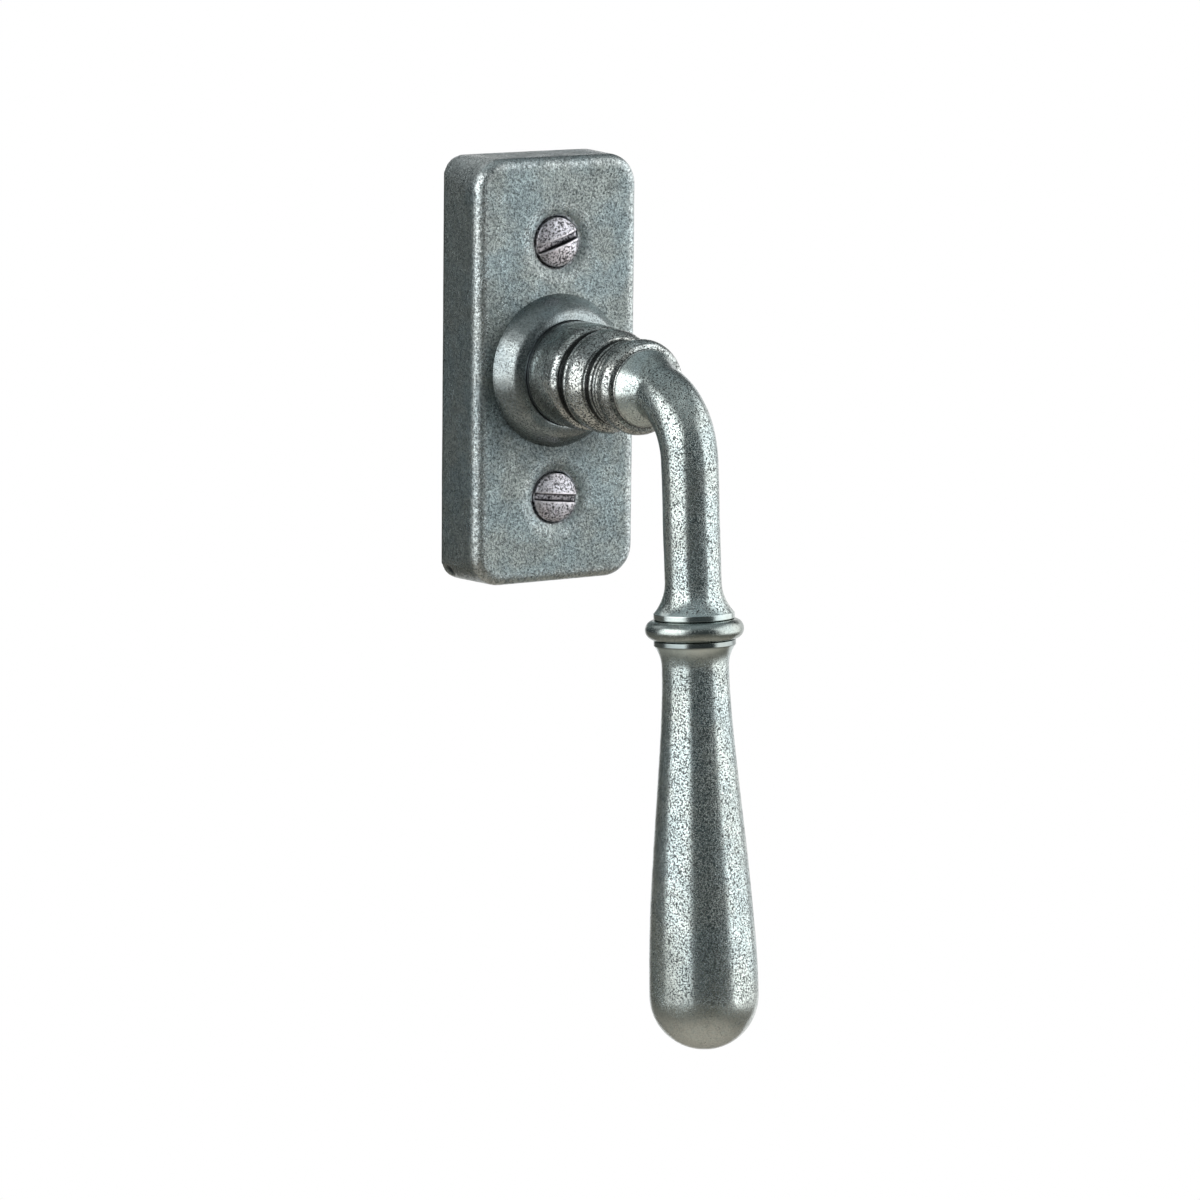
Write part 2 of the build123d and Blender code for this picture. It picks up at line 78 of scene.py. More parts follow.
# Turned neck: heights in front of the plate's face
neck_start = 4.7
barrel_r = 8.95
barrel_rear_drop = 0.19
barrel_front_drop = 0.05
barrel_shoulder = 1.5
barrel_groove_length = 1.8
barrel_groove_drop = 1.0
ring_start = 14.7
ring_length = 4.37
ring_r = 8.74
ring_edge_drop = 0.34
ring_end_drop = 1.23
ring_shoulder = 2.97
waist_drop = 0.41
waist_cove = 0.45
waist_floor = 0.98
waist_fillets = 2
fillet_length = 0.8
fillet_rise = 0.17
fillet_groove = 0.25
throat_length = 4.3
throat_r = 7.95
throat_edge_drop = 0.7
throat_end_drop = 0.73
throat_shoulder = 1.65
throat_face_rise = 0.2
lip_length = 0.2
lip_drop = 0.08
joint_chamfer = 0.15

# Lever: lengths down the lever are counted from the corner of the elbow
lean = radians(4.0)
bar_r = 4.7
ball_r = 6.5
ball_taper = 4.3
ball_start_slope = 1.12
ball_straight = 1.4
bend_r = 11.5
flare_start = 30.2
flare_length = 4.8
bar_shoulder_r = 6.65
bar_shoulder_length = 1.15
bead_tube_r = 1.65
bead_seat_r = 6.45
bead_bore_r = 3.62
grip_shoulder_r = 6.75
grip_shoulder_length = 0.9
grip_cove_length = 3.6
grip_neck_r = 5.52
grip_neck_pull = 14.0
grip_swell_length = 54.05
grip_end_pull = 19.4
grip_end_r = 8.97

# Wear of the grip's round end, and painted shade on the shoulders beside the bead
tip_wear_from = -95.0
tip_wear_length = 6.0
bar_shade = 0.35
grip_shade = 0.6
shade_edge = 0.3

# Painted shade on the plate: a painted shadow on its face below the boss, up to where a point's
# height is a given share of its distance from the spindle's axis, and painted shade on its sides
# behind the front edge
shadow_reach = 6.5
shadow_share = 0.6
shadow_turn = 0.35
face_depth = 1.0
side_shade_share = 0.4
side_shade_width = 2.0
side_shade_from = 1.6

# A painted highlight on the plate's two upper corners, and the nick at its lower left back corner
corner_highlight = 0.55
corner_highlight_from = 44.5
corner_highlight_length = 3.0
corner_highlight_behind = 0.6
nick_inset = 0.7
nick_height = 1.6
nick_before_back = 1.6
nick_r = 1.2
nick_depth = 0.5
nick_direction = (0.8, 0, 0.6)

# Dishes round the screw heads, and the depth of the skin that they move
screw_z = 21.5
dish_r = 6.9
dish_depth = 0.5
dish_skin = 1.5

# Screw heads: where they end behind the plate's face, how far they are pressed in and worn
screw_head_r = 4.15
screw_head_end = 1.8
screw_crown = 0.9
head_sink = 0.4
sink_end = 1.2
sink_fade = 0.8
crown_wear = 0.25
rim_wear = 0.15
rim_width = 0.2

# Screw slots: their width and angles, the dark wax with painted shade in them and the wear of
# their edges
screw_slot = 1.2
upper_slot_angle = radians(18)
lower_slot_angle = radians(-6)
slot_shade_from = 0.15
slot_shade_rise = 0.4
slot_shade_reach = 0.95
slot_shade_width = 0.4 * screw_slot
slot_middle_shade = 0.35
slot_edge_place = 0.65 * screw_slot
slot_edge_width = 0.15 * screw_slot

# How fine the meshes are: steps along the outlines, sides round the axis, sizes of voxels, and
# the distances at which vertices are welded
boss_step = 0.14
boss_sides = 288
neck_step = 0.11
neck_sides = 240
lever_step = 0.19
lever_sides = 176
bead_step = 0.14
bead_sides = 220
grip_step = 0.24
grip_sides = 232
shoulder_step = 0.12
hidden_step = 1.0
plate_voxel = 0.3
screw_voxel = 0.11
weld = 0.0001
cad_weld = 0.001

# The lengths of the waves in a forged surface, as multiples of its bumps' size
wave_lengths = (1.5, 2.8)

# Derived places
waist_start = ring_start + ring_length
fillets_start = waist_start + waist_cove + waist_floor
throat_start = fillets_start + waist_fillets * (fillet_length + fillet_groove)
throat_end = throat_start + throat_length
lip_start = throat_end + throat_face_rise
neck_end = lip_start + lip_length
bend_turn = pi / 2 - lean
bend_tangent = bend_r * tan(bend_turn / 2)
bend_start = neck_end + ball_straight
lever_reach = bend_start + bend_tangent
flare_end = flare_start + flare_length
bar_end = flare_end + bar_shoulder_length
bead_end = bar_end + 2 * bead_tube_r
cove_start = bead_end + grip_shoulder_length
cove_end = cove_start + grip_cove_length
grip_end = cove_end + grip_swell_length
inside = cavity_floor - plate_front
face_centre = (0, plate_front, 0)
outwards = (0, -1, 0)
lever_corner = Vector((0, plate_front - lever_reach, 0))
lever_axis = Vector((0, -sin(lean), -cos(lean)))

# Camera, fitted to the photograph's outlines
camera_yaw = radians(-32.879)
camera_pitch = radians(9.178)
camera_roll = radians(0.586)
camera_lens = 189.0
camera_distance = 1048.35
camera_target = Vector((0, -25, -40))
camera_shift = (0.118, 2.988)
camera_near = 50.0
camera_far = 20000.0


def camera():
    """The camera at the photograph's viewing angle."""
    back = Vector(
        (
            sin(camera_yaw) * cos(camera_pitch),
            -cos(camera_yaw) * cos(camera_pitch),
            sin(camera_pitch),
        )
    )
    right = Vector((cos(camera_yaw), sin(camera_yaw), 0))
    up = back.cross(right)
    place = camera_target + back * camera_distance + right * camera_shift[0] + up * camera_shift[1]
    turned_right = right * cos(camera_roll) + up * sin(camera_roll)
    turned_up = up * cos(camera_roll) - right * sin(camera_roll)
    eye = bpy.data.objects.new("camera", bpy.data.cameras.new("camera"))
    eye.data.lens = camera_lens
    eye.data.clip_start = camera_near * MM
    eye.data.clip_end = camera_far * MM
    facing = Matrix((turned_right, turned_up, back)).transposed().to_4x4()
    eye.matrix_world = Matrix.Translation(place * MM) @ facing
    bpy.context.scene.collection.objects.link(eye)
    bpy.context.scene.camera = eye


camera()


# Outlines and meshes


class Outline:
    """A turned piece's outline as close points: (radius, distance along the axis)."""

    def __init__(self, start, step):
        self.points = [start]
        self.step = step

    def follow(self, place, length):
        """Add points of a curve given as a function of its share, 0 to 1."""
        count = max(1, ceil(length / self.step))
        self.points += [place(k / count) for k in range(1, count + 1)]

    def heading(self):
        """The direction in which the outline arrives at its last point."""
        (r0, t0), (r1, t1) = self.points[-2:]
        return (r1 - r0, t1 - t0)

    def line(self, *ends):
        for end in ends:
            a, b = self.points[-1], end
            self.follow(
                lambda t: (a[0] + (b[0] - a[0]) * t, a[1] + (b[1] - a[1]) * t),
                hypot(b[0] - a[0], b[1] - a[1]),
            )

    def arc(self, end, tangent):
        """A round arc from the last point to end that starts in the direction of tangent."""
        a, size = self.points[-1], hypot(*tangent)
        side = (-tangent[1] / size, tangent[0] / size)
        dx, dy = end[0] - a[0], end[1] - a[1]
        r = (dx * dx + dy * dy) / (2 * (dx * side[0] + dy * side[1]))
        middle = (a[0] + side[0] * r, a[1] + side[1] * r)
        first = atan2(a[1] - middle[1], a[0] - middle[0])
        last = atan2(end[1] - middle[1], end[0] - middle[0])
        turn = (last - first) % (2 * pi) if r > 0 else -((first - last) % (2 * pi))
        r = abs(r)
        self.follow(
            lambda t: (middle[0] + r * cos(first + turn * t), middle[1] + r * sin(first + turn * t)),
            r * abs(turn),
        )

    def bow(self, end, rise):
        """A shallow round arc from the last point to end that bulges outwards by rise."""
        a = self.points[-1]
        dx, dy = end[0] - a[0], end[1] - a[1]
        half = hypot(dx, dy) / 2
        turn = 2 * atan2(rise, half)
        tangent = (dx * cos(turn) + dy * sin(turn), dy * cos(turn) - dx * sin(turn))
        self.arc(end, tangent)

    def bezier(self, b, c, d):
        a = self.points[-1]

        def place(t):
            s = 1 - t
            w = (s**3, 3 * s * s * t, 3 * s * t * t, t**3)
            return tuple(sum(w[k] * p[i] for k, p in enumerate((a, b, c, d))) for i in (0, 1))

        self.follow(place, hypot(d[0] - a[0], d[1] - a[1]))


def skin(name, stations, segments, ring=False):
    """A mesh over round sections. A station is (centre, right, up, radius). The first and last
    close to a point, or with ring the last section joins the first."""
    angles = np.arange(segments) * 2 * pi / segments
    around = np.stack([np.cos(angles), np.sin(angles)], axis=1)
    rows = [
        np.array(centre) + around[:, :1] * np.array(right) * r + around[:, 1:] * np.array(up) * r
        for centre, right, up, r in stations
    ]
    points = np.concatenate(rows) * MM
    faces = []
    for k in range(len(rows) if ring else len(rows) - 1):
        a, b = k * segments, (k + 1) % len(rows) * segments
        faces += [
            (a + i, a + (i + 1) % segments, b + (i + 1) % segments, b + i) for i in range(segments)
        ]
    mesh = bpy.data.meshes.new(name)
    mesh.from_pydata(points.tolist(), [], faces)
    shape = bmesh.new()
    shape.from_mesh(mesh)
    bmesh.ops.remove_doubles(shape, verts=shape.verts, dist=weld * MM)
    bmesh.ops.recalc_face_normals(shape, faces=shape.faces)
    shape.to_mesh(mesh)
    shape.free()
    return show(name, mesh)


def show(name, mesh):
    """An object of this mesh in the scene, shaded smooth."""
    mesh.shade_smooth()
    piece = bpy.data.objects.new(name, mesh)
    bpy.context.scene.collection.objects.link(piece)
    return piece


def turned(name, outline, origin, axis, segments, ring=False):
    """A piece turned round an axis from an outline of radius and distance along it."""
    axis = Vector(axis)
    right = Vector((1, 0, 0))
    up = axis.cross(right)
    stations = [(Vector(origin) + axis * t, right, up, r) for r, t in outline.points]
    return skin(name, stations[:-1] if ring else stations, segments, ring)


def remeshed(name, node, voxel, smoothing):
    """A copy of a CAD node's shape with an even mesh and slightly worn edges."""
    shape = bmesh.new()
    shape.from_mesh(frame["nodes"][node].data)
    bmesh.ops.remove_doubles(shape, verts=shape.verts, dist=cad_weld * MM)
    mesh = bpy.data.meshes.new(name)
    shape.to_mesh(mesh)
    shape.free()
    piece = bpy.data.objects.new(name, mesh)
    bpy.context.scene.collection.objects.link(piece)
    remesh = piece.modifiers.new("even", "REMESH")
    remesh.mode = "VOXEL"
    remesh.voxel_size = voxel * MM
    smooth = piece.modifiers.new("worn", "SMOOTH")
    smooth.iterations = smoothing
    final = bpy.data.meshes.new_from_object(
        piece.evaluated_get(bpy.context.evaluated_depsgraph_get())
    )
    bpy.data.objects.remove(piece)
    final.materials.clear()
    return show(name, final)


# Forging: what makes the turned and flat surfaces uneven


def waves(points, size, seed, count=26):
    """A smooth random height at each point, mostly -1 to 1, with bumps about size wide."""
    rng = np.random.default_rng(seed)
    directions = rng.normal(size=(count, 3))
    directions /= np.linalg.norm(directions, axis=1)[:, None]
    lengths = size * rng.uniform(*wave_lengths, count)
    turns = directions / lengths[:, None] * 2 * pi
    phases = rng.uniform(0, 2 * pi, count)
    return np.sin(points @ turns.T + phases).sum(axis=1) / (count / 2) ** 0.5 / 2


def corners_of(mesh):
    """The mesh's vertices in millimetres and their normals."""
    points = np.empty(len(mesh.vertices) * 3)
    normals = np.empty(len(mesh.vertices) * 3)
    mesh.vertices.foreach_get("co", points)
    mesh.vertices.foreach_get("normal", normals)
    return points.reshape(-1, 3) / MM, normals.reshape(-1, 3)


def forge(piece, seed, depths):
    """Press the surface in by smooth random amounts. depths is [(bump size, depth)]."""
    points, normals = corners_of(piece.data)
    sunk = sum(
        depth * np.clip(0.5 + 0.5 * waves(points, size, seed + k), 0, 1)
        for k, (size, depth) in enumerate(depths)
    )
    points -= normals * sunk[:, None]
    piece.data.vertices.foreach_set("co", (points * MM).ravel())
    piece.data.update()


def dent(piece, centre, radius, depth, direction):
    """Press in a round dent."""
    points, _ = corners_of(piece.data)
    away = np.linalg.norm(points - np.array(centre), axis=1) / radius
    share = np.clip(1 - away * away, 0, 1)
    points += np.array(direction) * (depth * share)[:, None]
    piece.data.vertices.foreach_set("co", (points * MM).ravel())
    piece.data.update()


def dish(piece, centre, radius, depth):
    """Press a soft round dish into a face that looks along -Y. What lies behind its skin stays."""
    points, _ = corners_of(piece.data)
    away = np.hypot(points[:, 0] - centre[0], points[:, 2] - centre[2]) / radius
    in_skin = np.clip(1 - (points[:, 1] - centre[1]) / dish_skin, 0, 1)
    points[:, 1] += depth * np.clip(1 - away * away, 0, 1) ** 1.5 * in_skin
    piece.data.vertices.foreach_set("co", (points * MM).ravel())
    piece.data.update()


def edge_length(points, a, b, number):
    """The mean length of the edges at each vertex. Edge k joins the vertices a[k] and b[k]."""
    length = np.linalg.norm(points[a] - points[b], axis=1)
    total = np.bincount(a, length, len(points)) + np.bincount(b, length, len(points))
    return np.maximum(total / np.maximum(number, 1), 1e-9)


def mark_edges(piece, waxed_and_shaded=None, worn=None, gain=3.0):
    """Store how convex (wear, with some painted highlight) and how hollow (dark wax with painted
    shade) the surface is at each vertex. The two optional functions of the vertices add dark wax
    with painted shade, and wear with painted highlight, 0 to 1."""
    mesh = piece.data
    points, normals = corners_of(mesh)
    edges = np.empty(len(mesh.edges) * 2, np.int64)
    mesh.edges.foreach_get("vertices", edges)
    a, b = edges.reshape(-1, 2).T
    number = np.bincount(a, minlength=len(points)) + np.bincount(b, minlength=len(points))

    def neighbours(values):
        total = np.bincount(a, values[b], len(points)) + np.bincount(b, values[a], len(points))
        return total / np.maximum(number, 1)

    mean = np.stack([neighbours(points[:, k]) for k in range(3)], axis=1)
    bend = np.einsum("ij,ij->i", mean - points, normals) / edge_length(points, a, b, number)
    for _ in range(2):
        bend = 0.5 * bend + 0.5 * neighbours(bend)
    # Convex places count as wear; hollow places get dark wax with painted shade
    wear_and_highlight = np.clip(-bend * gain, 0, 1)
    wax_and_shade = np.clip(bend * gain, 0, 1)
    if waxed_and_shaded:
        wax_and_shade = np.maximum(wax_and_shade, waxed_and_shaded(points))
    if worn:
        wear_and_highlight = np.maximum(wear_and_highlight, worn(points))
    for name, value in (("wear_and_highlight", wear_and_highlight * (1 - wax_and_shade)), ("wax_and_shade", wax_and_shade)):
        layer = mesh.attributes.new(name, "FLOAT", "POINT")
        layer.data.foreach_set("value", value.astype(np.float32))


def turned_hollows(outline_points, start, origin, axis, reach, depth):
    """A function that tells how deep points lie in the grooves of a turned outline, 0 to 1. A
    groove is what a ball of about this reach can't touch."""
    step = 0.05
    profile = sorted((t, r) for r, t in outline_points if t >= start)
    places = np.arange(profile[0][0], profile[-1][0], step)
    radii = np.interp(places, [t for t, _ in profile], [r for _, r in profile])
    width = int(reach / step)
    padded = np.pad(radii, 2 * width)
    high = np.stack([np.roll(padded, k) for k in range(-width, width + 1)]).max(axis=0)
    cover = np.stack([np.roll(high, k) for k in range(-width, width + 1)]).min(axis=0)
    hollow = np.clip((cover[2 * width : -2 * width] - radii) / depth, 0, 1)

    def share(points):
        along = (points - np.array(origin)) @ np.array(axis)
        return np.interp(along, places, hollow, 0, 0)

    return share


# Pieces


def add_ring(outline, start, length, crown_r, edge_drop, end_drop, shoulder):
    """One turned ring of the neck: a fine rear bead, a crowned band and a rounded front."""
    edge_r = crown_r - edge_drop
    band_start = start + fillet_length
    band_end = start + length - shoulder
    outline.bow((edge_r, band_start), fillet_rise)
    outline.points += crowned(edge_r, band_start, crown_r, band_end, outline.step)
    outline.arc((crown_r - end_drop, start + length), (0, 1))


def crowned(r0, t0, r1, t1, step):
    """Points of an arc that starts at r0 and ends level at r1."""
    back = Outline((r1, t1), step)
    back.arc((r0, t0), (0, -1))
    return back.points[-2::-1] + [(r1, t1)]


def boss_shape():
    """Bulging wall, rounded shoulder and shallow crest, with the recess and spigot."""
    outline = Outline((boss_r, 0), boss_step)
    outline.bow((boss_crest_r + boss_shoulder_spread, boss_shoulder_height), boss_wall_bulge)
    outline.arc((boss_crest_r + boss_round_spread, boss_round_height), outline.heading())
    outline.arc((boss_crest_r, boss_height), outline.heading())
    outline.line(
        (boss_recess_r, boss_height),
        (boss_recess_r, bush_seat_height),
        (bush_bore_r, bush_seat_height),
    )
    outline.step = hidden_step
    outline.line((bush_bore_r, -inside), (spigot_r, -inside), (spigot_r, 0), (boss_r, 0))
    piece = turned("boss_forging", outline, face_centre, outwards, boss_sides, ring=True)
    forge(piece, seed=11, depths=[(4.0, 0.05), (1.2, 0.03)])
    mark_edges(piece)
    return piece


def neck_shape():
    """Journal, barrel, ring, waist with fine fillets, throat bead and lip, in one turning."""
    barrel_end = ring_start - barrel_groove_length
    barrel_front = barrel_end - barrel_shoulder
    barrel_groove_r = barrel_r - barrel_groove_drop
    ring_end_r = ring_r - ring_end_drop
    waist_r = ring_end_r - waist_drop
    tail_shoulder = -inside - journal_past_floor
    outline = Outline((0, plate_front - tail_end), hidden_step)
    outline.line((tail_r, plate_front - tail_end), (tail_r, tail_shoulder))
    outline.line((journal_r, tail_shoulder), (journal_r, neck_start))
    outline.step = neck_step
    outline.line((barrel_r - barrel_rear_drop, neck_start))
    outline.bow((barrel_r - barrel_front_drop, barrel_front), barrel_rear_drop - barrel_front_drop)
    outline.arc((barrel_groove_r, barrel_end), (0, 1))
    outline.line((barrel_groove_r, ring_start - fillet_groove), (ring_r - ring_edge_drop, ring_start))
    add_ring(outline, ring_start, ring_length, ring_r, ring_edge_drop, ring_end_drop, ring_shoulder)
    outline.arc((waist_r, waist_start + waist_cove), (-1, 0))
    outline.line((waist_r, fillets_start))
    for k in range(waist_fillets):
        start = fillets_start + k * (fillet_length + fillet_groove)
        end = start + fillet_length
        outline.bow((waist_r, end), fillet_rise)
        next_r = waist_r if k < waist_fillets - 1 else throat_r - throat_edge_drop
        outline.line((waist_r - fillet_rise, end + fillet_groove / 2), (next_r, end + fillet_groove))
    add_ring(
        outline,
        throat_start,
        throat_length,
        throat_r,
        throat_edge_drop,
        throat_end_drop,
        throat_shoulder,
    )
    outline.line((ball_r, lip_start), (ball_r, neck_end - joint_chamfer))
    outline.line((ball_r - lip_drop, neck_end))
    outline.step = hidden_step
    outline.line((0, neck_end))
    piece = turned("neck_turning", outline, face_centre, outwards, neck_sides)
    forge(piece, seed=23, depths=[(3.5, 0.03), (1.1, 0.02)])
    # The neck's grooves are darkened with dark wax and painted shade
    grooves = turned_hollows(outline.points, neck_start, face_centre, outwards, reach=1.0, depth=0.16)
    mark_edges(piece, grooves, gain=8.0)
    return piece


def bar_radius(run):
    """Radius at a run along the centre line, counted from the front of the neck."""
    share = min(run / ball_taper, 1)
    level = 1 - share
    fallen = ball_start_slope * share * level**2 + share**2 * (3 - 2 * share)
    return ball_r + (bar_r - ball_r) * fallen


def lever_shape():
    """Ball that tapers into the bend, straight stem, flare and shoulder."""
    right = Vector((1, 0, 0))
    front = Vector(outwards)
    top = Vector((0, 0, 1))

    def on_axis(run):
        """A place on the spindle's axis, counted from the front of the neck."""
        return Vector((0, plate_front - neck_end - run, 0))

    stations = [
        (on_axis(0), right, top, 0.0),
        (on_axis(0), right, top, ball_r - joint_chamfer),
        (on_axis(joint_chamfer), right, top, bar_radius(joint_chamfer)),
    ]
    count = ceil(ball_straight / lever_step)
    for k in range(1, count):
        run = joint_chamfer + (ball_straight - joint_chamfer) * k / count
        stations.append((on_axis(run), right, top, bar_radius(run)))
    count = ceil(bend_r * bend_turn / lever_step)
    for k in range(count + 1):
        turn = bend_turn * k / count
        y = plate_front - bend_start - bend_r * sin(turn)
        z = bend_r * cos(turn) - bend_r
        up = top * cos(turn) + front * sin(turn)
        stations.append((Vector((0, y, z)), right, up, bar_radius(ball_straight + bend_r * turn)))
    outline = Outline((bar_r, bend_tangent), lever_step)
    outline.line((bar_r, flare_start))
    outline.arc((bar_shoulder_r - joint_chamfer, flare_end), (0, 1))
    outline.step = shoulder_step
    outline.line((bar_shoulder_r, flare_end + joint_chamfer))
    outline.line((bar_shoulder_r, bar_end - joint_chamfer), (bar_shoulder_r - joint_chamfer, bar_end))
    outline.step = 2 * hidden_step
    outline.line((0, bar_end))
    stations += [
        (lever_corner + lever_axis * t, right, lever_axis.cross(right), r)
        for r, t in outline.points[1:]
    ]
    piece = skin("lever_forging", stations, lever_sides)
    forge(piece, seed=37, depths=[(6.0, 0.08), (1.8, 0.02)])
    # Painted shade on the shoulder above the bead
    mark_edges(piece, collar_painted_shade)
    return piece


def bead_shape():
    """Half-round ring between the bar and the grip."""
    outline = Outline((bead_seat_r, bar_end), bead_step)
    outline.bow((bead_seat_r, bead_end), bead_tube_r)
    outline.step = hidden_step
    outline.line((bead_bore_r, bead_end), (bead_bore_r, bar_end), (bead_seat_r, bar_end))
    piece = turned("bead_ring", outline, lever_corner, lever_axis, bead_sides, ring=True)
    forge(piece, seed=41, depths=[(4.0, 0.04), (1.3, 0.02)])
    # Dark wax with painted shade where the bead meets the shoulders
    mark_edges(piece, collar_hollows)
    return piece


def grip_shape():
    """Shoulder, cove and long drop with a round end."""
    outline = Outline((0, bead_end), 1.5 * hidden_step)
    outline.line((grip_shoulder_r - joint_chamfer, bead_end))
    outline.step = shoulder_step
    outline.line((grip_shoulder_r, bead_end + joint_chamfer), (grip_shoulder_r, cove_start))
    outline.points += crowned(grip_shoulder_r, cove_start, grip_neck_r, cove_end, outline.step)
    outline.step = grip_step
    outline.bezier(
        (grip_neck_r, cove_end + grip_neck_pull),
        (grip_end_r, grip_end - grip_end_pull),
        (grip_end_r, grip_end),
    )
    outline.arc((0, grip_end + grip_end_r), (0, 1))
    piece = turned("grip_drop", outline, lever_corner, lever_axis, grip_sides)
    forge(piece, seed=53, depths=[(9.0, 0.07), (2.2, 0.012)])
    # Painted shade on the shoulder below the bead, and wear of the round end
    mark_edges(piece, collar_painted_shade, tip_wear)
    return piece


def tip_wear(points):
    """The wear of the grip's round end."""
    return np.clip((tip_wear_from - points[:, 2]) / tip_wear_length, 0, 1)


def collar_painted_shade(points):
    """Dark wax with painted shade in the grooves beside the bead, and painted shade on the shoulders
    next to them.
    """
    along = (points - np.array(lever_corner)) @ np.array(lever_axis)
    upper = np.clip((along - flare_end) / shade_edge, 0, 1) * (along < bar_end + shade_edge)
    lower = np.clip((cove_start - along) / shade_edge + 1, 0, 1) * (along > bead_end - shade_edge)
    return np.maximum(collar_hollows(points), np.maximum(bar_shade * upper, grip_shade * lower))


def plate_painted_shade(points):
    """Painted shade on the plate's sides, and a painted shadow on its face below the boss."""
    r = np.maximum(np.hypot(points[:, 0], points[:, 2]), 1)
    near = np.clip(1 - (r - boss_r) / shadow_reach, 0, 1)
    behind = points[:, 1] - plate_front
    below = shadow_share * near * np.clip(shadow_turn - points[:, 2] / r, 0, 1) * (behind < face_depth)
    aside = np.clip((np.abs(points[:, 0]) - boss_r) / side_shade_width, 0, 1)
    return np.maximum(below, side_shade_share * aside * np.clip(behind - side_shade_from, 0, 1))


def corner_painted_highlight(points):
    """A painted highlight on the plate's two upper corners, behind the front edge."""
    reach = np.abs(points[:, 0]) + points[:, 2]
    behind = np.clip(points[:, 1] - plate_front - corner_highlight_behind, 0, 1)
    return corner_highlight * behind * np.clip((reach - corner_highlight_from) / corner_highlight_length, 0, 1)


def plate_shape():
    """The plate with worn edges, an uneven skin and a nick at its lower left back corner."""
    piece = remeshed("plate_forging", "backplate", plate_voxel, smoothing=4)
    forge(piece, seed=67, depths=[(7.0, 0.04), (1.8, 0.01)])
    low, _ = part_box("backplate")
    for side in (-1, 1):
        dish(piece, (0, plate_front, side * screw_z), dish_r, dish_depth)
    nick = (low.x / MM + nick_inset, -nick_before_back, low.z / MM + nick_height)
    dent(piece, nick, nick_r, nick_depth, nick_direction)
    # Painted shade below the boss and on the sides, and a painted highlight on the upper corners
    mark_edges(piece, plate_painted_shade, corner_painted_highlight, gain=16.0)
    return piece


def screw_shape(side, slot_angle):
    """A slotted screw head with a worn slot, on its shank. side is upper or lower."""
    piece = remeshed(f"slotted_screw_{side}", f"fixing_screw_{side}", screw_voxel, smoothing=2)
    low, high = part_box(f"fixing_screw_{side}")
    middle_z = (low.z + high.z) / 2 / MM

    def in_head(points):
        return np.where(points[:, 1] < plate_front + screw_head_end, 1.0, 0.0)

    def from_axis(points):
        """How far points lie from the screw's axis, as a share of the head's radius."""
        return np.hypot(points[:, 0], points[:, 2] - middle_z) / screw_head_r

    def from_slot(points):
        """How far points lie from the middle of the slot."""
        return np.abs(cos(slot_angle) * (points[:, 2] - middle_z) - sin(slot_angle) * points[:, 0])

    def slot_wax_and_shade(points):
        """Dark wax with painted shade that fills the slot, lighter along its middle."""
        share = from_axis(points)
        crown_y = low.y / MM + head_sink + crown_wear + (screw_crown - crown_wear) * share**2
        sunk = np.clip((points[:, 1] - crown_y - slot_shade_from) / slot_shade_rise, 0, 1)
        sunk *= share < slot_shade_reach
        return sunk * in_head(points) * np.clip(from_slot(points) / slot_shade_width, slot_middle_shade, 1)

    def slot_edges(points):
        """The worn edges along the slot."""
        return in_head(points) * (np.abs(from_slot(points) - slot_edge_place) < slot_edge_width)

    points, _ = corners_of(piece.data)
    share = from_axis(points)
    head = np.clip((plate_front + sink_end - points[:, 1]) / sink_fade, 0, 1)
    rim = np.clip((share - (1 - rim_width)) / rim_width, 0, 1)
    points[:, 1] += head * (head_sink + crown_wear * np.clip(1 - share**2, 0, 1))
    points[:, 1] += rim_wear * head * rim**2
    piece.data.vertices.foreach_set("co", (points * MM).ravel())
    forge(piece, seed=76, depths=[(1.2, 0.05), (0.5, 0.02)])
    mark_edges(piece, slot_wax_and_shade, slot_edges, gain=8.0)
    return piece


# The outline beside and round the bead, which tells where its grooves are, which get dark wax
# with painted shade
collar_outline = Outline((bar_shoulder_r, flare_end), 0.1)
collar_outline.line((bar_shoulder_r, bar_end), (bead_seat_r, bar_end))
collar_outline.bow((bead_seat_r, bead_end), bead_tube_r)
collar_outline.line((grip_shoulder_r, bead_end), (grip_shoulder_r, cove_start + 1))
collar_hollows = turned_hollows(
    collar_outline.points, 0, lever_corner, lever_axis, reach=0.7, depth=0.12
)


# Materials

# Patina of the pewter finishes: sizes of its clouds, patches and breaks in the wear, the tints of
# the patches, how much wear with painted highlight and dark wax with painted shade cover, and
# what wear, clouds and spots do to the surface
cloud_size = 3.5
patch_size = 9.0
wear_break_size = 0.9
bluish_tint = (-1.0, 0.0, 0.4)
brownish_tint = (0.6, -0.1, -1.0)
wear_and_highlight_cover = 0.9
wax_and_shade_cover = 0.95
worn_grain = 0.4
cloud_smoother = 0.04
cloud_rougher = 0.05
spot_rougher = 0.15

# Where the lever has fewer spots: on its ball and the grip's round end, with the share that is
# left there, and between the flare and the cove, where none are
ball_spots = 0.5
ball_spots_from = -39.5
ball_spots_to = -44.5
tip_spots = 0.4
tip_spots_from = -95.5
tip_spots_to = -100.5
flare_spots_from = -34.0
flare_spots_to = -34.9
cove_spots_from = -44.5
cove_spots_to = -39.8

# The screws' shanks, counted from the plate's face
shank_spots = 0.12
shank_clean_from = 1.5
shank_clean_to = 2.5

# Plated, hardened, sintered and moulded surfaces
plated_cloud_size = 4.0
plated_smoother = 0.05
plated_rougher = 0.08
plastic_grain_size = 0.15
plastic_grain_depth = 0.02
plastic_patch_size = 2.0
plastic_patch_dark = 0.7
plastic_rough_spread = 0.08


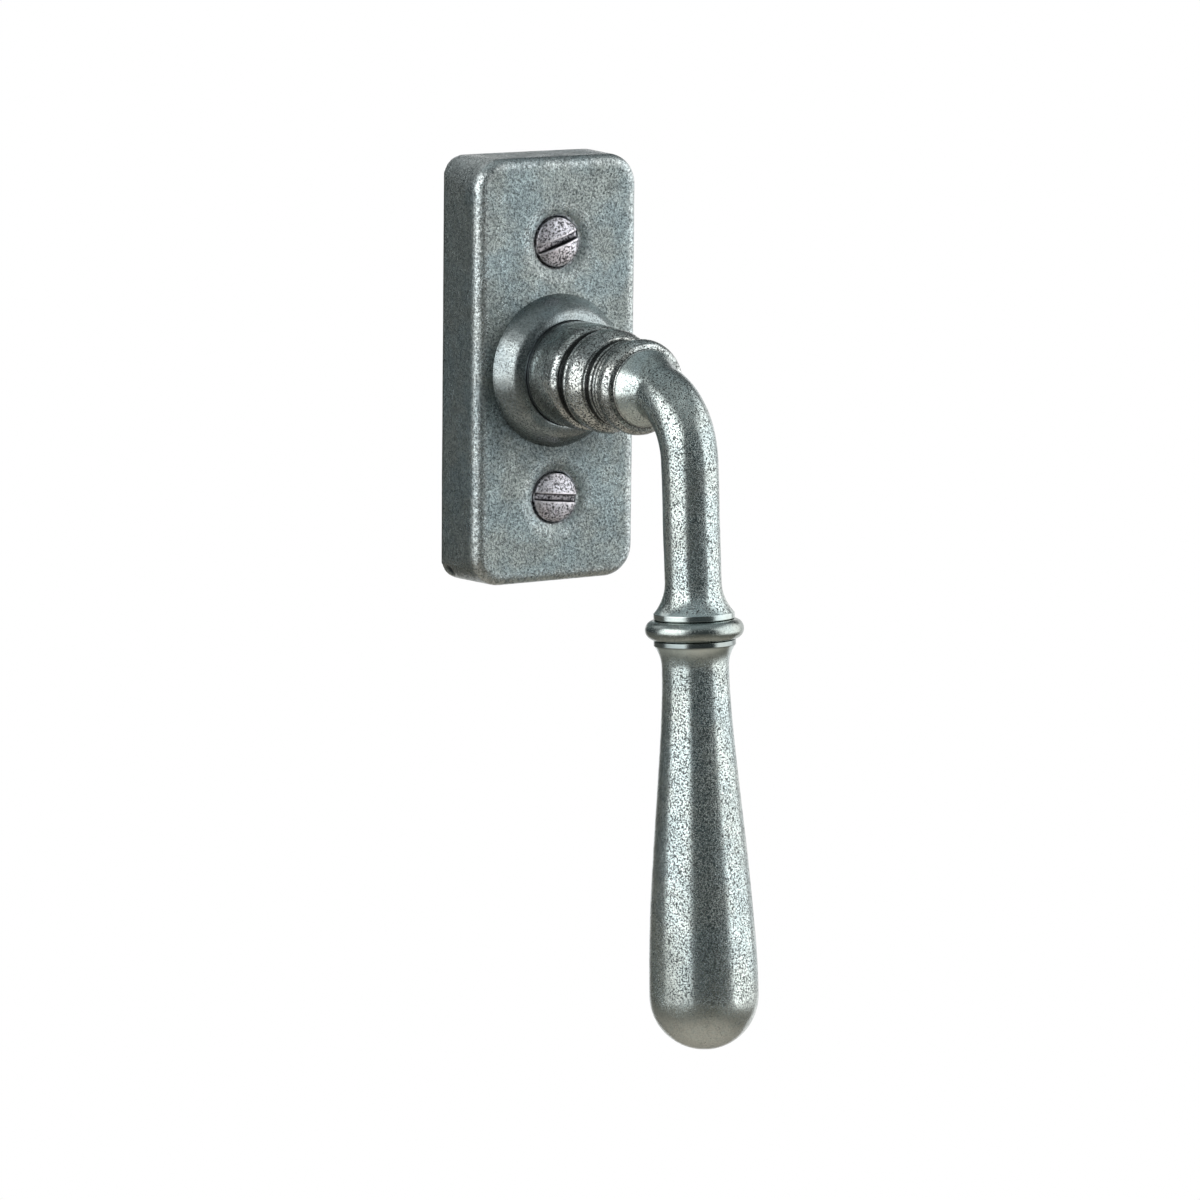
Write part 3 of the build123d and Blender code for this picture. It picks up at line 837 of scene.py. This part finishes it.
class Shader:
    """A material in the making: short calls for the nodes that it uses. Sizes are in millimetres."""

    def __init__(self, name):
        self.material = bpy.data.materials.new(name)
        self.material.use_nodes = True
        self.tree = self.material.node_tree
        self.surface = self.tree.nodes["Principled BSDF"]
        self.place = self.tree.nodes.new("ShaderNodeTexCoord").outputs["Object"]

    def node(self, kind, settings=None, inputs=None):
        made = self.tree.nodes.new(kind)
        for key, value in (settings or {}).items():
            setattr(made, key, value)
        for key, value in (inputs or {}).items():
            self.put(made.inputs[key], value)
        return made

    def put(self, socket, value):
        if isinstance(value, bpy.types.NodeSocket):
            self.tree.links.new(value, socket)
        elif isinstance(value, tuple) and len(value) == 3 and socket.type == "RGBA":
            socket.default_value = (*value, 1)
        else:
            socket.default_value = value

    def noise(self, size, detail=2.0, roughness=0.5):
        made = self.node(
            "ShaderNodeTexNoise",
            {},
            {"Vector": self.place, "Scale": 1 / (size * MM), "Detail": detail, "Roughness": roughness},
        )
        return made.outputs["Fac"]

    def ramp(self, value, low, high, to_low=0.0, to_high=1.0):
        made = self.node(
            "ShaderNodeMapRange",
            {"interpolation_type": "SMOOTHSTEP"},
            {"Value": value, "From Min": low, "From Max": high, "To Min": to_low, "To Max": to_high},
        )
        return made.outputs["Result"]

    def math(self, operation, a, b=0.0):
        made = self.node("ShaderNodeMath", {"operation": operation}, {0: a, 1: b})
        return made.outputs[0]

    def mix(self, share, a, b):
        made = self.node("ShaderNodeMix", {"data_type": "RGBA"}, {"Factor": share})
        self.put(made.inputs[6], a)
        self.put(made.inputs[7], b)
        return made.outputs[2]

    def layer(self, name):
        return self.node("ShaderNodeAttribute", {"attribute_name": name}).outputs["Fac"]

    def along(self, axis):
        """A coordinate of the place, in millimetres."""
        split = self.node("ShaderNodeSeparateXYZ", {}, {"Vector": self.place})
        return self.math("DIVIDE", split.outputs[axis], MM)

    def bump(self, height):
        """Height in millimetres."""
        made = self.node("ShaderNodeBump", {}, {"Height": height, "Distance": MM, "Strength": 1.0})
        self.put(self.surface.inputs["Normal"], made.outputs["Normal"])

    def finish(self, color, roughness, metallic=1.0):
        self.put(self.surface.inputs["Base Color"], color)
        self.put(self.surface.inputs["Roughness"], roughness)
        self.put(self.surface.inputs["Metallic"], metallic)
        return self.material


def pewter(
    name,
    light,
    dark,
    worn,
    spot_size=0.3,
    spot_from=0.52,
    spot_to=0.6,
    spot_share=0.7,
    spot_depth=0.02,
    worn_and_highlit_spots=0.3,
    grain_size=0.25,
    grain_depth=0.02,
    grain_share=0.3,
    cloud_share=0.2,
    hue=0.03,
    rough=0.33,
    worn_rough=0.22,
    smooth=None,
):
    """Steel with a pewter patina. Dark wax fills etched spots, edges are worn bright, the worn colour
    also paints highlights where a piece's marks add them, and grooves are darkened with dark wax
    and painted shade. smooth makes the share, 0 to 1, that is kept of the spots and of the dark
    grain."""
    s = Shader(name)
    cloud = s.noise(cloud_size, 4.0, 0.6)
    grain = s.noise(grain_size, 4.0, 0.7)
    spots = s.ramp(s.noise(spot_size, 4.0, 0.72), spot_from, spot_to)
    unbroken = s.ramp(s.noise(wear_break_size, 3.0, 0.6), 0.3, 0.6, 0.45, 1.0)
    wear_and_highlight = s.math("MULTIPLY", s.layer("wear_and_highlight"), unbroken)
    spots = s.math("MULTIPLY", spots, s.ramp(wear_and_highlight, 0.1, 0.7, 1.0, worn_and_highlit_spots))
    grain_dark = s.ramp(grain, 0.42, 0.62, 0.0, grain_share)
    if smooth:
        kept = smooth(s)
        spots = s.math("MULTIPLY", spots, kept)
        grain_dark = s.math("MULTIPLY", grain_dark, kept)
    bluish = tuple(c * (1 + k * hue) for c, k in zip(light, bluish_tint))
    brownish = tuple(c * (1 + k * hue) for c, k in zip(light, brownish_tint))
    color = s.mix(s.ramp(s.noise(patch_size, 3.0, 0.6), 0.38, 0.62), bluish, brownish)
    color = s.mix(s.ramp(cloud, 0.35, 0.65, 0.0, cloud_share), color, dark)
    # The worn colour: wear, and a painted highlight where a piece's marks add it
    color = s.mix(s.math("MULTIPLY", wear_and_highlight, wear_and_highlight_cover), color, worn)
    color = s.mix(grain_dark, color, dark)
    color = s.mix(s.math("MULTIPLY", spots, spot_share), color, dark)
    color = s.mix(s.math("MULTIPLY", s.layer("wax_and_shade"), wax_and_shade_cover), color, dark)
    depth = s.ramp(wear_and_highlight, 0.0, 0.8, grain_depth, worn_grain * grain_depth)
    height = s.math("MULTIPLY", grain, depth)
    s.bump(s.math("SUBTRACT", height, s.math("MULTIPLY", spots, spot_depth)))
    roughness = s.ramp(cloud, 0.3, 0.7, rough - cloud_smoother, rough + cloud_rougher)
    roughness = s.math("ADD", roughness, s.math("MULTIPLY", wear_and_highlight, worn_rough - rough))
    return s.finish(color, s.math("ADD", roughness, s.math("MULTIPLY", spots, spot_rougher)))


def lever_spots(s):
    """Fewer spots on the ball and the grip's round end, and none beside the bead."""
    ball = s.ramp(s.along("Y"), ball_spots_from, ball_spots_to, ball_spots, 1.0)
    height = s.along("Z")
    tip = s.ramp(height, tip_spots_to, tip_spots_from, tip_spots, 1.0)
    above = s.ramp(height, flare_spots_to, flare_spots_from, 0.0, 1.0)
    below = s.ramp(height, cove_spots_from, cove_spots_to, 1.0, 0.0)
    beside = s.math("MAXIMUM", above, below)
    return s.math("MULTIPLY", s.math("MULTIPLY", ball, tip), beside)


def screw_spots(s):
    """Few spots on the screws' shanks, which no hand or weather reaches."""
    clean_from = plate_front + shank_clean_from
    return s.ramp(s.along("Y"), clean_from, plate_front + shank_clean_to, 1.0, shank_spots)


def plated(name, light, dark, rough, grain_size=0.3, grain_depth=0.008):
    """Plated, hardened or sintered steel with faint clouds and a fine grain."""
    s = Shader(name)
    cloud = s.noise(plated_cloud_size, 3.0, 0.6)
    grain = s.noise(grain_size, 2.0, 0.5)
    color = s.mix(s.ramp(cloud, 0.35, 0.65), light, dark)
    s.bump(s.math("MULTIPLY", grain, grain_depth))
    roughness = s.ramp(grain, 0.3, 0.7, rough - plated_smoother, rough + plated_rougher)
    return s.finish(color, roughness)


def plastic(name, color, rough):
    """Matt moulded plastic with a fine spark-eroded grain."""
    s = Shader(name)
    grain = s.noise(plastic_grain_size, 2.0, 0.5)
    s.bump(s.math("MULTIPLY", grain, plastic_grain_depth))
    patch = tuple(plastic_patch_dark * c for c in color)
    shade = s.mix(s.noise(plastic_patch_size, 3.0, 0.5), color, patch)
    smoothest, roughest = rough - plastic_rough_spread, rough + plastic_rough_spread
    return s.finish(shade, s.ramp(grain, 0.3, 0.7, smoothest, roughest), metallic=0.0)


materials = {
    "forged_plate": pewter(
        "forged_plate",
        light=(0.455, 0.53, 0.54),
        dark=(0.03, 0.04, 0.045),
        worn=(0.9, 0.95, 0.95),
        spot_size=0.36,
        spot_from=0.53,
        spot_to=0.6,
        spot_share=0.65,
        spot_depth=0.025,
        grain_size=0.42,
        grain_depth=0.15,
        grain_share=0.55,
        hue=0.05,
        worn_rough=0.12,
        rough=0.3,
    ),
    "forged_boss": pewter(
        "forged_boss",
        light=(0.38, 0.43, 0.44),
        dark=(0.025, 0.03, 0.032),
        worn=(0.55, 0.6, 0.6),
        spot_size=0.26,
        spot_from=0.53,
        spot_to=0.62,
        spot_share=0.6,
        spot_depth=0.01,
        grain_size=0.4,
        grain_depth=0.02,
        grain_share=0.35,
        rough=0.24,
    ),
    "turned_neck": pewter(
        "turned_neck",
        light=(0.84, 0.89, 0.87),
        dark=(0.015, 0.017, 0.017),
        worn=(0.92, 0.95, 0.94),
        spot_size=0.34,
        spot_from=0.51,
        spot_to=0.58,
        spot_share=0.9,
        spot_depth=0.015,
        worn_and_highlit_spots=0.15,
        grain_size=0.3,
        grain_depth=0.01,
        grain_share=0.65,
        cloud_share=0.5,
        rough=0.2,
    ),
    "turned_steel": pewter(
        "turned_steel",
        light=(0.47, 0.52, 0.5),
        dark=(0.06, 0.065, 0.06),
        worn=(0.55, 0.6, 0.58),
        spot_size=0.3,
        spot_from=0.56,
        spot_to=0.66,
        spot_share=0.4,
        spot_depth=0.008,
        grain_depth=0.006,
        grain_share=0.2,
        rough=0.23,
    ),
    "forged_lever": pewter(
        "forged_lever",
        light=(0.735, 0.825, 0.815),
        dark=(0.03, 0.036, 0.036),
        worn=(0.72, 0.76, 0.73),
        spot_size=0.3,
        spot_from=0.515,
        spot_to=0.57,
        spot_share=0.93,
        spot_depth=0.018,
        worn_and_highlit_spots=0.6,
        grain_size=0.2,
        grain_depth=0.008,
        grain_share=0.5,
        rough=0.19,
        smooth=lever_spots,
    ),
    "screw_steel": pewter(
        "screw_steel",
        light=(0.9, 0.87, 0.93),
        dark=(0.02, 0.019, 0.022),
        worn=(0.95, 0.92, 0.97),
        spot_size=0.38,
        spot_from=0.505,
        spot_to=0.54,
        spot_share=0.9,
        spot_depth=0.03,
        grain_size=0.2,
        grain_depth=0.02,
        grain_share=0.3,
        worn_rough=0.35,
        rough=0.46,
        smooth=screw_spots,
    ),
    "zinc_plated_steel": plated(
        "zinc_plated_steel",
        light=(0.62, 0.63, 0.64),
        dark=(0.5, 0.51, 0.52),
        rough=0.32,
    ),
    "spring_steel": plated(
        "spring_steel",
        light=(0.35, 0.36, 0.38),
        dark=(0.25, 0.26, 0.28),
        rough=0.28,
    ),
    "cam_steel": plated(
        "cam_steel",
        light=(0.3, 0.3, 0.31),
        dark=(0.2, 0.2, 0.21),
        rough=0.42,
        grain_size=0.2,
        grain_depth=0.016,
    ),
    "housing_plastic": plastic("housing_plastic", (0.1, 0.1, 0.1), rough=0.5),
}
bush_steel = plated(
    "turned_bush",
    light=(0.3, 0.33, 0.35),
    dark=(0.2, 0.22, 0.24),
    rough=0.35,
)

for entry in frame["record"]["subparts"]:
    for slot in frame["nodes"][entry["node"]].material_slots:
        slot.material = materials[entry["material_slot"]]
for slot in frame["nodes"]["neck_bush"].material_slots:
    slot.material = bush_steel


def dress(piece, node, body, slot):
    """Give a piece its finish and let it stand for its CAD node on that node's body."""
    piece.data.materials.append(materials[slot])
    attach(piece, body)
    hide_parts(node)


dress(plate_shape(), "backplate", "fixed_plate", "forged_plate")
dress(boss_shape(), "boss_collar", "fixed_plate", "forged_boss")
dress(screw_shape("upper", upper_slot_angle), "fixing_screw_upper", "fixed_plate", "screw_steel")
dress(screw_shape("lower", lower_slot_angle), "fixing_screw_lower", "fixed_plate", "screw_steel")
dress(neck_shape(), "handle_neck", "turning_handle", "turned_neck")
dress(lever_shape(), "lever_bar", "turning_handle", "forged_lever")
dress(bead_shape(), "bead_collar", "turning_handle", "turned_steel")
dress(grip_shape(), "grip", "turning_handle", "forged_lever")


# Floor, backdrop and light

floor_z = -750.0
floor_r = 5000.0
floor_sides = 96
floor_color = (0.76, 0.67, 0.58)
backdrop_r = 1150.0
backdrop_height = 1050.0
backdrop_lift = 1.0
backdrop_cove = 100.0
backdrop_cove_steps = 12
backdrop_from = radians(-168)
backdrop_to = radians(-104)
backdrop_steps = 64
backdrop_color = (0.85, 0.85, 0.85)
backdrop_shown = 1.0
paper_roughness = 0.9
paper_gloss = 0.1
sky_horizon = (0.057, 0.067, 0.07)
sky_zenith = (0.36, 0.4, 0.41)
sky_rise_from = 0.4

# The middle of what the soft boxes light
lit_place = camera_target * 0.8

# Soft boxes: azimuth, elevation, width and height in degrees, distance and radiance
soft_boxes = {
    "left_box": (88, 15, 74, 64, 600, 0.9),
    "left_box_core": (88, 15, 62, 50, 590, 0.95),
    "left_box_top": (86, 24, 44, 26, 560, 1.0),
    "right_box": (-63, 13, 80, 74, 600, 0.8),
    "right_box_core": (-62, 12, 66, 56, 590, 0.95),
    "rear_box": (172, 36, 56, 28, 620, 0.55),
}


def pale_paper(name, color, shown=0.0):
    """Pale matt paper. With shown, the camera, glossy and transmission rays see a white of that
    strength instead of it."""
    material = bpy.data.materials.new(name)
    material.use_nodes = True
    tree = material.node_tree
    surface = tree.nodes["Principled BSDF"]
    surface.inputs["Base Color"].default_value = (*color, 1)
    surface.inputs["Roughness"].default_value = paper_roughness
    surface.inputs["Specular IOR Level"].default_value = paper_gloss
    if shown:
        path = tree.nodes.new("ShaderNodeLightPath")
        first = tree.nodes.new("ShaderNodeMath")
        first.operation = "MAXIMUM"
        tree.links.new(path.outputs["Is Camera Ray"], first.inputs[0])
        tree.links.new(path.outputs["Is Glossy Ray"], first.inputs[1])
        second = tree.nodes.new("ShaderNodeMath")
        second.operation = "MAXIMUM"
        tree.links.new(first.outputs[0], second.inputs[0])
        tree.links.new(path.outputs["Is Transmission Ray"], second.inputs[1])
        glow = tree.nodes.new("ShaderNodeEmission")
        glow.inputs["Strength"].default_value = shown
        blend = tree.nodes.new("ShaderNodeMixShader")
        tree.links.new(second.outputs[0], blend.inputs[0])
        tree.links.new(surface.outputs[0], blend.inputs[1])
        tree.links.new(glow.outputs[0], blend.inputs[2])
        tree.links.new(blend.outputs[0], tree.nodes["Material Output"].inputs["Surface"])
    return material


def floor():
    """A plain pale floor, well below the handle."""
    turns = [2 * pi * k / floor_sides for k in range(floor_sides)]
    rim = [(floor_r * cos(turn) * MM, floor_r * sin(turn) * MM, floor_z * MM) for turn in turns]
    mesh = bpy.data.meshes.new("floor")
    mesh.from_pydata(rim, [], [tuple(range(floor_sides))])
    mesh.materials.append(pale_paper("floor_paper", floor_color))
    ground = bpy.data.objects.new("floor", mesh)
    bpy.context.scene.collection.objects.link(ground)


def direction(azimuth, elevation=0.0):
    """A direction from the handle. Azimuth 0 is the front and turns to the left."""
    return Vector(
        (-sin(azimuth) * cos(elevation), -cos(azimuth) * cos(elevation), sin(elevation))
    )


def backdrop():
    """A curved white sheet behind the handle, seen from the photograph's side."""
    cove = backdrop_cove
    foot_r = backdrop_r - cove
    foot_z = floor_z + backdrop_lift
    profile = [(foot_r, foot_z)]
    for k in range(1, backdrop_cove_steps + 1):
        turn = pi / 2 * k / backdrop_cove_steps
        profile.append((foot_r + cove * sin(turn), foot_z + cove * (1 - cos(turn))))
    profile.append((backdrop_r, floor_z + backdrop_height))
    points, faces = [], []
    for k in range(backdrop_steps + 1):
        side = direction(backdrop_from + (backdrop_to - backdrop_from) * k / backdrop_steps)
        points += [((side * r + Vector((0, 0, z))) * MM)[:] for r, z in profile]
    rows = len(profile)
    for k in range(backdrop_steps):
        for i in range(rows - 1):
            a, b = k * rows + i, (k + 1) * rows + i
            faces.append((a, b, b + 1, a + 1))
    mesh = bpy.data.meshes.new("backdrop")
    mesh.from_pydata(points, [], faces)
    mesh.materials.append(pale_paper("backdrop_paper", backdrop_color, backdrop_shown))
    sheet = bpy.data.objects.new("backdrop", mesh)
    bpy.context.scene.collection.objects.link(sheet)


def soft_box(name, azimuth, elevation, width, height, distance, radiance):
    """A white soft box that faces the handle. Width and height are angles seen from there."""
    toward = direction(radians(azimuth), radians(elevation))
    lamp = bpy.data.lights.new(name, "AREA")
    lamp.shape = "RECTANGLE"
    lamp.size = 2 * distance * tan(radians(width) / 2) * MM
    lamp.size_y = 2 * distance * tan(radians(height) / 2) * MM
    lamp.energy = radiance * pi * lamp.size * lamp.size_y
    box = bpy.data.objects.new(name, lamp)
    box.location = (lit_place + toward * distance) * MM
    box.rotation_mode = "QUATERNION"
    box.rotation_quaternion = toward.to_track_quat("Z", "Y")
    bpy.context.scene.collection.objects.link(box)


def sky():
    """Dim neutral surroundings, a little brighter and cooler overhead."""
    world = bpy.data.worlds.new("sky")
    world.use_nodes = True
    bpy.context.scene.world = world
    tree = world.node_tree
    place = tree.nodes.new("ShaderNodeTexCoord")
    split = tree.nodes.new("ShaderNodeSeparateXYZ")
    tree.links.new(place.outputs["Generated"], split.inputs[0])
    share = tree.nodes.new("ShaderNodeMapRange")
    share.interpolation_type = "SMOOTHSTEP"
    share.inputs["From Min"].default_value = sky_rise_from
    share.inputs["From Max"].default_value = 1.0
    tree.links.new(split.outputs["Z"], share.inputs["Value"])
    blend = tree.nodes.new("ShaderNodeMix")
    blend.data_type = "RGBA"
    blend.inputs[6].default_value = (*sky_horizon, 1)
    blend.inputs[7].default_value = (*sky_zenith, 1)
    tree.links.new(share.outputs["Result"], blend.inputs["Factor"])
    tree.links.new(blend.outputs[2], tree.nodes["Background"].inputs["Color"])


floor()
backdrop()
for name, values in soft_boxes.items():
    soft_box(name, *values)
sky()

bpy.context.scene.view_settings.view_transform = "Standard"
